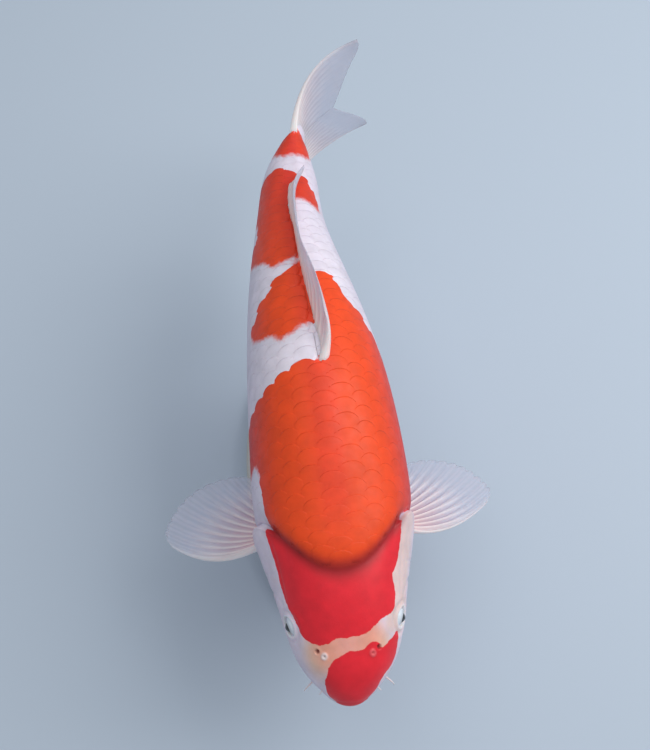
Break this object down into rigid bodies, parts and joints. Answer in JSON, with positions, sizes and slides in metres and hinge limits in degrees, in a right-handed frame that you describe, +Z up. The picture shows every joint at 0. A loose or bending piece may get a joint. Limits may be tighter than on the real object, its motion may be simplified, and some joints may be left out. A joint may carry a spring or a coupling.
{
  "type": "koi carp",
  "caption": "Still, life-size koi carp, white with red-orange markings, swimming with a swept tail, held by short rods on a flat oval display base.",
  "frame": {"origin": "on the floor, under the middle of the whole model's outline", "axes": "+Z up, -Y towards the snout, +X towards the fish's own left side"},
  "size_m": [0.2552, 0.5306, 0.2481],
  "materials": {
    "head_skin": "smooth wet red skin",
    "pale_skin": "smooth wet pale pink skin",
    "orange_skin": "wet red-orange scales",
    "white_skin": "wet white scales",
    "eye": "clear, wet",
    "fin": "thin, translucent, ribbed",
    "stand_paint": "satin",
    "stand_steel": "brushed"
  },
  "bodies": {
    "root": {"head": "head_skin", "lower_jaw": "pale_skin", "gill_cover_left": "pale_skin", "gill_cover_right": "pale_skin", "eye_left": "eye", "eye_right": "eye", "feeler_upper_left": "pale_skin", "feeler_upper_right": "pale_skin", "feeler_corner_left": "pale_skin", "feeler_corner_right": "pale_skin", "trunk_front": "orange_skin", "trunk_rear": "white_skin", "tail_stalk": "white_skin", "dorsal_fin": "fin", "anal_fin": "fin", "pectoral_fin_left": "fin", "pectoral_fin_right": "fin", "pelvic_fin_left": "fin", "pelvic_fin_right": "fin", "tail_fin_upper": "fin", "tail_fin_lower": "fin", "stand_base": "stand_paint", "stand_rod_front": "stand_steel", "stand_rod_rear": "stand_steel"}
  },
  "joints": []
}
